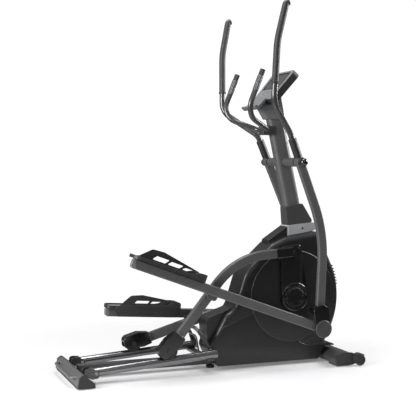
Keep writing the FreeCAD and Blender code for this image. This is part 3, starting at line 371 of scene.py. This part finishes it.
def round_edges(shape, edges, radius, segments=3):
    bmesh.ops.bevel(shape, geom=edges, offset=radius * MM, offset_type="OFFSET", affect="EDGES",
                    segments=segments, profile=0.5, material=-1, clamp_overlap=True)


def raise_faces(shape, faces, step):
    """Extrude faces and move the new ones by a step in millimetres."""
    made = bmesh.ops.extrude_face_region(shape, geom=faces)["geom"]
    verts = [item for item in made if isinstance(item, bmesh.types.BMVert)]
    bmesh.ops.translate(shape, verts=verts, vec=Vector(step) * MM)
    return verts


def prism(corners, low, high, rim=1.0, holes=(), segments=3):
    """Plate in an XZ outline between two Y values, its far rim rounded; holes are outlines too."""
    shape = bmesh.new()
    outline(shape, corners)
    for hole in holes:
        outline(shape, hole)
    if holes:
        bmesh.ops.delete(shape, geom=shape.faces[:], context="FACES_ONLY")
        bmesh.ops.triangle_fill(shape, edges=shape.edges[:], use_beauty=True)
    bmesh.ops.translate(shape, verts=shape.verts, vec=(0, low * MM, 0))
    raise_faces(shape, shape.faces[:], (0, high - low, 0))
    bmesh.ops.recalc_face_normals(shape, faces=shape.faces)
    if rim:
        far = [e for e in shape.edges if all(abs(v.co.y - high * MM) < 1e-6 for v in e.verts)]
        far = [e for e in far if e.calc_face_angle(0) > 0.8]
        round_edges(shape, far, rim, segments)
    return shape


def turned(profile, steps=64):
    """Spin (radius, y) points in millimetres about the Y axis."""
    shape = bmesh.new()
    spots = [shape.verts.new((radius * MM, y * MM, 0)) for radius, y in profile]
    edges = [shape.edges.new(pair) for pair in zip(spots, spots[1:])]
    bmesh.ops.spin(shape, geom=spots + edges, axis=(0, 1, 0), cent=(0, 0, 0), steps=steps,
                   angle=math.tau, use_merge=True)
    bmesh.ops.remove_doubles(shape, verts=shape.verts, dist=1e-6)
    return shape


def bar_block(low, high, rim=0.6, segments=2):
    """Box between two corners in millimetres with rounded edges."""
    shape = bmesh.new()
    bmesh.ops.create_cube(shape, size=1)
    size = [abs(b - a) * MM for a, b in zip(low, high)]
    centre = [(a + b) / 2 * MM for a, b in zip(low, high)]
    bmesh.ops.scale(shape, verts=shape.verts, vec=size)
    bmesh.ops.translate(shape, verts=shape.verts, vec=centre)
    if rim:
        round_edges(shape, shape.edges[:], rim, segments)
    return shape


def gather(*shapes):
    """Join several shapes into the first."""
    whole = shapes[0]
    for extra in shapes[1:]:
        passing = bpy.data.meshes.new("passing")
        extra.to_mesh(passing)
        extra.free()
        whole.from_mesh(passing)
        bpy.data.meshes.remove(passing)
    return whole


def place_shape(shape, matrix):
    bmesh.ops.transform(shape, matrix=matrix, verts=shape.verts)
    return shape


def piece(name, shape, material, body, instead_of=(), smooth=38):
    """Turn a finished shape into an object that rides on a body."""
    bmesh.ops.remove_doubles(shape, verts=shape.verts, dist=1e-6)
    bmesh.ops.recalc_face_normals(shape, faces=shape.faces)
    mesh = bpy.data.meshes.new(name)
    shape.to_mesh(mesh)
    shape.free()
    mesh.materials.append(material)
    mesh.shade_smooth()
    mesh.set_sharp_from_angle(angle=math.radians(smooth))
    made = bpy.data.objects.new(name, mesh)
    bpy.context.scene.collection.objects.link(made)
    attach(made, body)
    if instead_of:
        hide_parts(*instead_of)
    print(name, len(mesh.polygons), "faces")
    return made


JOINT = {joint["name"]: joint for joint in frame["joints"]}


def pivot(joint):
    return Vector(JOINT[joint]["pos_m"])


def link_matrix(joint, turn):
    """Places a link drawn about its pivot; a positive turn in degrees lowers its front end."""
    spot = pivot(joint)
    return Matrix.Translation((spot.x, 0, spot.z)) @ Matrix.Rotation(math.radians(turn), 4, "Y")


# %% [markdown]
# ## Pedals
# A pedal is one nylon moulding: a floor with a lip that climbs to a toe wall at the front, and a
# guard with three slanted windows on the side of the crank. The lip is the plan's border, inset
# and raised, with each point's height worked out from how far forward it lies. Below the guard
# hangs a side wall with two pairs of screws. A ribbed rubber tread lies inside the lip.

# %% Pedals
ARM_TILT = {"right": 20.5, "left": 4.3}
ARM_TOP = 22.5
TOE, HEEL = -656, -1022
PEDAL_IN, PEDAL_OUT = 100, 226
ARM_JOINT = {"right": "pedal_drop", "left": "pedal_left_turn"}
TRAY_CUTS = (25, 40, 50, 60, 70, 80, 100, 160, 260)
WINDOWS = ((50, 44, 12), (106, 62, 17), (180, 66, 20))
WINDOW_SLANT = 18
SCREWS_BACK = (104, 128, 226, 250)
RIB_PITCH = 7.2


def lip_height(x):
    """Height of the lip above the arm: low along the side, high at the toe."""
    climb = min(1.0, max(0.0, (x / MM - (TOE - 95)) / 62))
    return (16 + 20 * climb * climb * (3 - 2 * climb)) * MM


def pedal_plan(side, inset=0):
    return [(TOE - inset, side * (PEDAL_IN + inset), 28 - inset),
            (TOE - inset, side * (PEDAL_OUT - inset), 22 - inset),
            (HEEL + inset, side * (PEDAL_OUT - 8 - inset), 34 - inset),
            (HEEL + inset, side * (PEDAL_IN + 22 + inset), 16 - inset)]


def pedal_tray(side):
    shape = bmesh.new()
    outline(shape, pedal_plan(side), flat=True, segments=8)
    for back in TRAY_CUTS:
        bmesh.ops.bisect_plane(shape, geom=shape.verts[:] + shape.edges[:] + shape.faces[:],
                               plane_co=((TOE - back) * MM, 0, 0), plane_no=(1, 0, 0))
    bmesh.ops.translate(shape, verts=shape.verts, vec=(0, 0, ARM_TOP * MM))
    raise_faces(shape, shape.faces[:], (0, 0, 5))
    bmesh.ops.recalc_face_normals(shape, faces=shape.faces)
    deck = [f for f in shape.faces if f.normal.z > 0.9]
    ring = bmesh.ops.inset_region(shape, faces=deck, thickness=5 * MM, use_even_offset=True)["faces"]
    for vert in raise_faces(shape, ring, (0, 0, 0)):
        vert.co.z = ARM_TOP * MM + lip_height(vert.co.x)
    bmesh.ops.recalc_face_normals(shape, faces=shape.faces)
    rims = [e for e in shape.edges
            if e.calc_face_angle(0) > 0.9 and e.verts[0].co.z > (ARM_TOP + 12) * MM]
    round_edges(shape, rims, 1.6, 3)
    return shape


def pedal_guard(side):
    """Guard plate on the crank side, with three windows and a rolled upper edge."""
    base = ARM_TOP
    rim = [(TOE - 2, base, 2), (TOE - 2, base + 38, 10), (TOE - 200, base + 72, 24),
           (TOE - 258, base + 68, 24), (TOE - 318, base + 14, 12), (TOE - 330, base, 2)]
    windows = []
    for start, length, height in WINDOWS:
        front, back = TOE - start, TOE - start - length
        low, high = base + 24, base + 24 + height
        windows.append([(front, low, 3), (front + WINDOW_SLANT, high, 3),
                        (back + WINDOW_SLANT, high, 3), (back, low, 3)])
    inner, outer = sorted((side * PEDAL_IN, side * (PEDAL_IN + 5)))
    return prism(rim, inner, outer, rim=1.4, holes=windows)


def screw_head(side, x, y, z, radius):
    """Round head with a shallow socket on a face that looks along Y."""
    head = turned([(0, 1.2), (radius * 0.45, 1.2), (radius * 0.5, 0), (radius * 0.8, 0), (radius, 0.9),
                   (radius, 2.6)], 20)
    flip = Matrix.Scale(-1, 4, (0, 1, 0)) if side < 0 else Matrix()
    return place_shape(head, Matrix.Translation(Vector((x, y, z)) * MM) @ flip)


def side_wall(side):
    """Wall that hangs below the guard and covers the tray's mounting, with two pairs of screws."""
    near, far = side * (PEDAL_IN + 1), side * (PEDAL_IN - 1.5)
    wall = prism([(TOE - 6, ARM_TOP + 20, 3), (TOE - 6, ARM_TOP - 20, 4),
                  (TOE - 34, ARM_TOP - 34, 10), (HEEL + 44, ARM_TOP - 34, 8),
                  (HEEL + 30, ARM_TOP + 8, 8), (TOE - 316, ARM_TOP + 20, 4)], near, far, 1.0)
    for back in SCREWS_BACK:
        gather(wall, screw_head(side, TOE - back, side * (PEDAL_IN - 2.4), ARM_TOP - 12, 5))
    return wall


def pedal_tread(side):
    """Rubber mat: a thin base with rounded ribs along it; the ribs by the guard stop short."""
    shape = bmesh.new()
    outline(shape, pedal_plan(side, 7), flat=True, segments=6)
    bmesh.ops.translate(shape, verts=shape.verts, vec=(0, 0, (ARM_TOP + 5) * MM))
    raise_faces(shape, shape.faces[:], (0, 0, 2.2))
    count = int((PEDAL_OUT - PEDAL_IN - 32) / RIB_PITCH)
    for index in range(count + 1):
        y = side * (PEDAL_IN + 16 + index * RIB_PITCH)
        taper = 22 * max(0.0, 1 - index / 3)
        low = (HEEL + 22 + taper, y - 2, ARM_TOP + 6.5)
        high = (TOE - 24, y + 2, ARM_TOP + 9)
        gather(shape, bar_block(low, high, 1.1, 2))
    return shape


def build_pedals():
    for word, side in SIDES.items():
        place = link_matrix(ARM_JOINT[word], ARM_TILT[word])
        body = "pedal_arm_" + word
        tray = gather(pedal_tray(side), pedal_guard(side), side_wall(side))
        piece("pedal_moulding_" + word, place_shape(tray, place), dark_plastic, body,
              ["pedal_" + word])
        piece("pedal_tread_" + word, place_shape(pedal_tread(side), place), tread_rubber, body,
              ["pedal_pad_" + word])


build_pedals()

# %% [markdown]
# ## Cranks
# The cranks are broad pressed plates with a soft rim, painted gloss black. Round the hub stands a
# rolled ring, and inside it a domed cap with eight short spokes. Ring and cap are spun profiles.

# %% Cranks
CRANK_LEAN = 5
CRANK_IN, CRANK_THICK = 95, 14
CRANK_REACH = 225
RING_LUGS = 6
CAP_SPOKES = 8


def crank_plate(side):
    corners = [(-70, -8, 60), (0, -74, 58), (70, -8, 60), (54, CRANK_REACH + 28, 20),
               (-54, CRANK_REACH + 28, 20)]
    near, far = side * CRANK_IN, side * (CRANK_IN + CRANK_THICK)
    plate = prism(corners, near, far, rim=3.5, segments=4)
    gather(plate, place_shape(turned([(10, -6), (24, -6), (24, 1), (10, 1)], 48),
                              Matrix.Translation((0, near * MM, 0)) @ Matrix.Scale(side, 4, (0, 1, 0))))
    return plate


def crank_ring(side):
    """Rolled ring round the hub, with six lugs on its inner edge."""
    face = CRANK_IN + CRANK_THICK
    ring = turned([(58, face - 1), (58, face + 1.8), (59.5, face + 3.2), (64, face + 3.4),
                   (68, face + 2.6), (69.5, face + 1.0), (69.5, face - 3)])
    for index in range(RING_LUGS):
        tooth = bar_block((57, face, -4), (63, face + 3.9, 4), 1.2)
        gather(ring, place_shape(tooth, Matrix.Rotation(index * math.tau / RING_LUGS, 4, "Y")))
    return place_shape(ring, Matrix.Scale(side, 4, (0, 1, 0)))


def crank_cap(side):
    """Domed cap inside a raised rim, with eight short spokes between the two."""
    face = CRANK_IN + CRANK_THICK
    cap = turned([(0, face + 3.4), (20, face + 3.2), (36, face + 2.4), (44, face + 2.0),
                  (47, face + 3.6), (51, face + 4.4), (54, face + 3.2), (55, face - 1)])
    for index in range(CAP_SPOKES):
        spoke = bar_block((36, face + 1, -2.4), (49, face + 4.0, 2.4), 1.0)
        gather(cap, place_shape(spoke, Matrix.Rotation(index * math.tau / CAP_SPOKES, 4, "Y")))
    return place_shape(cap, Matrix.Scale(side, 4, (0, 1, 0)))


def build_cranks():
    for word, side in SIDES.items():
        turn = -CRANK_LEAN if side < 0 else 180 - CRANK_LEAN
        place = link_matrix("crank_turn", turn)
        piece("crank_plate_" + word, place_shape(crank_plate(side), place), gloss_plastic, "crank",
              ["crank_" + word])
        piece("crank_ring_" + word, place_shape(crank_ring(side), place), gloss_plastic, "crank")
        piece("crank_cap_" + word, place_shape(crank_cap(side), place), gloss_plastic, "crank")


build_cranks()

# %% [markdown]
# ## Pivot discs
# The disc at the foot of each swing arm has a knurled face. Two sets of thin ribs cross at right
# angles; each rib is as long as the circle's chord at its distance from the centre.

# %% Pivot discs
DISC_RADIUS = 43
DISC_IN, DISC_OUT = 218.5, 223.5
KNURL_PITCH = 4.6


def knurled_disc(side):
    disc = turned([(0, DISC_IN), (DISC_RADIUS - 1.5, DISC_IN), (DISC_RADIUS, DISC_IN + 1.5),
                   (DISC_RADIUS, DISC_OUT - 2.2), (DISC_RADIUS - 2, DISC_OUT - 0.4),
                   (DISC_RADIUS - 6, DISC_OUT - 0.4), (DISC_RADIUS - 7, DISC_OUT - 1.6),
                   (0, DISC_OUT - 1.6)])
    reach = DISC_RADIUS - 7
    for turn in (45, -45):
        for index in range(-7, 8):
            offset = index * KNURL_PITCH
            half = math.sqrt(reach ** 2 - offset ** 2) - 0.5
            rib = bar_block((-half, DISC_OUT - 1.8, offset - 0.9),
                            (half, DISC_OUT - 0.5, offset + 0.9), 0)
            gather(disc, place_shape(rib, Matrix.Rotation(math.radians(turn), 4, "Y")))
    gather(disc, turned([(0, 160), (8, 160), (8, DISC_IN)], 32))
    return place_shape(disc, Matrix.Scale(side, 4, (0, 1, 0)))


def build_discs():
    for word, side in SIDES.items():
        place = link_matrix("pivot_turn_" + word, 0)
        piece("pivot_disc_" + word, place_shape(knurled_disc(side), place), disc_plastic,
              "pivot_" + word, ["pivot_pin_" + word])


build_discs()

# %% [markdown]
# ## Roller bars
# A thin bright metal band at the mouth of each roller hood, where the bar goes in, is a painted
# highlight: it stands in for the light along the hood's rim.

# %% Hood bands, painted highlights on the hood rims
BAR_LEG = math.degrees(math.atan2(154, 513))
RAIL_LANE = 132
BAND_HALF = 25.6
BAND_HIGH = 27.6


def crank_pin(word):
    """Where the crank's pin lies at rest: above the hub on the right, below it on the left."""
    lean = math.radians(-CRANK_LEAN)
    up = Vector((math.sin(lean), 0, math.cos(lean))) * -SIDES[word]
    hub = pivot("crank_turn")
    return Vector((hub.x, 0, hub.z)) + up * CRANK_REACH * MM


def bar_turn(word):
    """Slope of the line from the roller's axle to the crank's pin, in degrees."""
    span = crank_pin(word) - pivot("bar_turn_" + word)
    return math.degrees(math.atan2(span.z, span.x))


# Painted highlight: a bright metal strip put where the rim of the hood's mouth catches the light.
def hood_rim_highlight_band(side):
    lane = side * RAIL_LANE
    return bar_block((86.2, lane - BAND_HALF, -BAND_HIGH), (88.4, lane + BAND_HALF, BAND_HIGH), 1.0)


def build_bands():
    for word, side in SIDES.items():
        place = link_matrix("bar_turn_" + word, -bar_turn(word) - BAR_LEG)
        piece("hood_rim_highlight_band_" + word, place_shape(hood_rim_highlight_band(side), place), sensor_metal,
              "roller_bar_" + word)


build_bands()

# %% [markdown]
# ## Housing details
# A skirt wraps the foot of the housing, its shoulder rising from the rear until it meets the
# raised disc behind the crank. A ledge covers the place where the front stabiliser comes out, and
# cooling fins cross the front edge beside the flywheel.

# %% Housing details
ORIGIN_SHIFT = 10.5
HOUSING_HALF = 84
FRONT_EDGE_X, FRONT_EDGE_Z, FRONT_EDGE_RADIUS = 270.5, 330.7, 380
FIN_COUNT = 7
FIN_PITCH = 15


def housing_skirt(side):
    corners = [(0, 19, 12), (540, 17, 12), (578, 92, 6), (472, 92, 30), (420, 120, 30),
               (300, 140, 30), (232, 196, 20), (190, 264, 10), (121, 242, 40), (30, 208, 30),
               (-22, 139, 20), (-37, 110, 30)]
    corners = [(x + ORIGIN_SHIFT, z, r) for x, z, r in corners]
    return prism(corners, side * 58, side * (HOUSING_HALF + 2), rim=7, segments=4)


def front_ledge(side):
    corners = [(466, 88, 2), (600, 82, 4), (626, 80, 3), (624, 88, 3), (592, 98, 12), (470, 95, 3)]
    corners = [(x + ORIGIN_SHIFT, z, r) for x, z, r in corners]
    return prism(corners, 0, side * (HOUSING_HALF + 4), rim=3)


def cooling_fins():
    """Fins across the front edge; the edge is an arc, so each fin starts where the arc passes."""
    fins = None
    for index in range(FIN_COUNT):
        z = 388 + index * FIN_PITCH
        rise = z - FRONT_EDGE_Z
        x = FRONT_EDGE_X + math.sqrt(FRONT_EDGE_RADIUS ** 2 - rise ** 2) + ORIGIN_SHIFT
        fin = bar_block((x - 14, -70, z - 2.6), (x + 6, 70, z + 2.6), 1.4)
        fins = gather(fins, fin) if fins else fin
    return fins


def build_housing_details():
    for word, side in SIDES.items():
        piece("housing_skirt_" + word, housing_skirt(side), shell_plastic, "frame")
        piece("front_ledge_" + word, front_ledge(side), shell_plastic, "frame")
    piece("cooling_fins", cooling_fins(), shell_plastic, "frame")


build_housing_details()

# %% [markdown]
# ## Console
# A lighter face plate lies on the head, cut out for the screen and the three keys, with a raised
# bezel round the screen and a row of flat membrane buttons on each side of it.

# %% Console
FACE_LOW, FACE_HIGH = Vector((0.2725, 0, 1.296)), Vector((0.3965, 0, 1.440))
FACE_LONG = (FACE_HIGH - FACE_LOW).length / MM


def face_matrix():
    """Turns a plate drawn in XZ so that it lies on the console's face, its Y axis pointing out."""
    up = (FACE_HIGH - FACE_LOW).normalized()
    out = Vector((-up.z, 0, up.x))
    across = up.cross(out)
    return Matrix.Translation(FACE_LOW) @ Matrix((up, out, across)).transposed().to_4x4()


def key_spots():
    return [(40, 50 * index) for index in (-1, 0, 1)]


def face_plate():
    rim = [(3, -108, 10), (3, 108, 10), (FACE_LONG - 3, 126, 22), (FACE_LONG - 3, -126, 22)]
    screen = [(76, -90, 6), (76, 90, 6), (FACE_LONG - 14, 94, 6), (FACE_LONG - 14, -94, 6)]
    keys = [[(x - 9, z - 9, 8.9), (x - 9, z + 9, 8.9), (x + 9, z + 9, 8.9), (x + 9, z - 9, 8.9)]
            for x, z in key_spots()]
    return prism(rim, -0.2, 0.9, rim=0.5, holes=[screen] + keys, segments=2)


def screen_bezel():
    rim = [(73, -93, 8), (73, 93, 8), (FACE_LONG - 11, 97, 8), (FACE_LONG - 11, -97, 8)]
    hole = [(80, -86, 4), (80, 86, 4), (FACE_LONG - 18, 90, 4), (FACE_LONG - 18, -90, 4)]
    return prism(rim, -0.5, 1.8, rim=0.8, holes=[hole], segments=2)


def membrane_buttons():
    made = None
    for side in (-1, 1):
        for index in range(4):
            x = 88 + index * 24
            y = side * (104 + index * 1.6)
            button = prism([(x - 7, y - 5, 4.8), (x - 7, y + 5, 4.8), (x + 7, y + 5, 4.8),
                            (x + 7, y - 5, 4.8)], 0.5, 1.7, rim=0.4, segments=2)
            made = gather(made, button) if made else button
    return made


def build_console():
    place = face_matrix()
    piece("console_face", place_shape(face_plate(), place), face_plastic, "frame")
    piece("console_bezel", place_shape(screen_bezel(), place), gloss_plastic, "frame")
    piece("console_buttons", place_shape(membrane_buttons(), place), key_plastic, "frame")


build_console()

# %% [markdown]
# ## Grip collars
# A rubber collar ends the foam sleeve on each moving handle. It is a ring spun about Y, then turned
# to lie along the handle where the sleeve starts.

# %% Grip collars
SWING_LEAN = {"right": 8, "left": 10.5}
SWING_JOINT = {"right": "stride", "left": "swing_left_turn"}
HANDLE_LOW, HANDLE_BEND = Vector((-155, 302, 291)), Vector((-101, 308, 575))
SLEEVE_START = 0.34


def grip_collar(side):
    ring = turned([(14.6, -5), (17.6, -5), (18.4, -4), (18.4, 3), (17.4, 5), (14.6, 5), (14.6, -5)], 40)
    low = Vector((HANDLE_LOW.x, side * HANDLE_LOW.y, HANDLE_LOW.z))
    bend = Vector((HANDLE_BEND.x, side * HANDLE_BEND.y, HANDLE_BEND.z))
    spot = low + (bend - low) * SLEEVE_START
    turn = Vector((0, 1, 0)).rotation_difference(bend - low).to_matrix().to_4x4()
    return place_shape(ring, Matrix.Translation(spot * MM) @ turn)


def build_collars():
    for word, side in SIDES.items():
        place = link_matrix(SWING_JOINT[word], -SWING_LEAN[word])
        piece("grip_collar_" + word, place_shape(grip_collar(side), place), rubber,
              "swing_" + word)


build_collars()

# %% [markdown]
# ## Transport wheels
# Each wheel is a moulded disc: a hub, a recessed web and a rounded tread, spun as one profile. A
# mudguard, spun through part of a turn, covers the rear and top of each wheel.

# %% Transport wheels
WHEEL_OUT = 245.6


def transport_wheel(side):
    profile = [(5.05, -22), (10, -22), (11, -19), (20, -19), (21, -22), (25, -22), (27, -19.5),
               (27, -2.5), (25, 0), (21, 0), (20, -3), (11, -3), (10, 0), (5.05, 0), (5.05, -22)]
    wheel = place_shape(turned(profile, 48), Matrix.Scale(side, 4, (0, 1, 0)))
    hub = pivot("transport_roll")
    return place_shape(wheel, Matrix.Translation((hub.x, side * WHEEL_OUT * MM, hub.z)))


def wheel_arch(side):
    """Mudguard over the rear and top of a wheel, growing out of the stabiliser's cap."""
    shape = bmesh.new()
    section = [(28.6, 206), (32, 206), (32, 245), (28.6, 245)]
    spots = [shape.verts.new((radius * MM, side * y * MM, 0)) for radius, y in section]
    edges = [shape.edges.new(pair) for pair in zip(spots, spots[1:] + spots[:1])]
    bmesh.ops.spin(shape, geom=spots + edges, axis=(0, 1, 0), cent=(0, 0, 0), steps=24,
                   angle=-math.radians(150))
    bmesh.ops.holes_fill(shape, edges=[e for e in shape.edges if e.is_boundary])
    place_shape(shape, Matrix.Rotation(-math.radians(45), 4, "Y"))
    hub = pivot("transport_roll")
    return place_shape(shape, Matrix.Translation((hub.x, 0, hub.z)))


def build_wheels():
    arches = gather(wheel_arch(-1), wheel_arch(1))
    piece("wheel_arches", arches, dark_plastic, "frame")
    pair = gather(transport_wheel(-1), transport_wheel(1))
    piece("transport_tyres", pair, dark_plastic, "transport_wheels",
          ["transport_wheels"])


build_wheels()

# %% [markdown]
# ## Floor
# The machine stands on a pale, slightly glossy studio floor, which gives it a faint mirror image.

# %% Floor
FLOOR_SOLID = 0.5
FLOOR_GONE = 1.9


def studio_floor():
    """Round floor that fades into the white sky, so no horizon shows behind the machine."""
    mesh = bpy.data.meshes.new("studio_floor")
    shape = bmesh.new()
    bmesh.ops.create_circle(shape, cap_ends=True, segments=96, radius=3.5)
    shape.to_mesh(mesh)
    shape.free()
    ground = bpy.data.objects.new("studio_floor", mesh)
    bpy.context.scene.collection.objects.link(ground)
    paint = bpy.data.materials.new("studio_floor_paint")
    paint.use_nodes = True
    tree = paint.node_tree
    shader = tree.nodes["Principled BSDF"]
    shader.inputs["Base Color"].default_value = (0.62, 0.62, 0.63, 1)
    shader.inputs["Roughness"].default_value = 0.2
    shader.inputs["Emission Color"].default_value = (1, 1, 1, 1)
    shader.inputs["Emission Strength"].default_value = 0.16
    place = tree.nodes.new("ShaderNodeTexCoord")
    reach = tree.nodes.new("ShaderNodeVectorMath")
    reach.operation = "LENGTH"
    link(tree, place.outputs["Object"], reach.inputs[0])
    fade = node(tree, "MapRange", From_Min=FLOOR_SOLID, From_Max=FLOOR_GONE, To_Min=1.0, To_Max=0.0)
    fade.interpolation_type = "SMOOTHSTEP"
    link(tree, reach.outputs["Value"], fade.inputs["Value"])
    link(tree, fade.outputs["Result"], shader.inputs["Alpha"])
    mesh.materials.append(paint)


studio_floor()
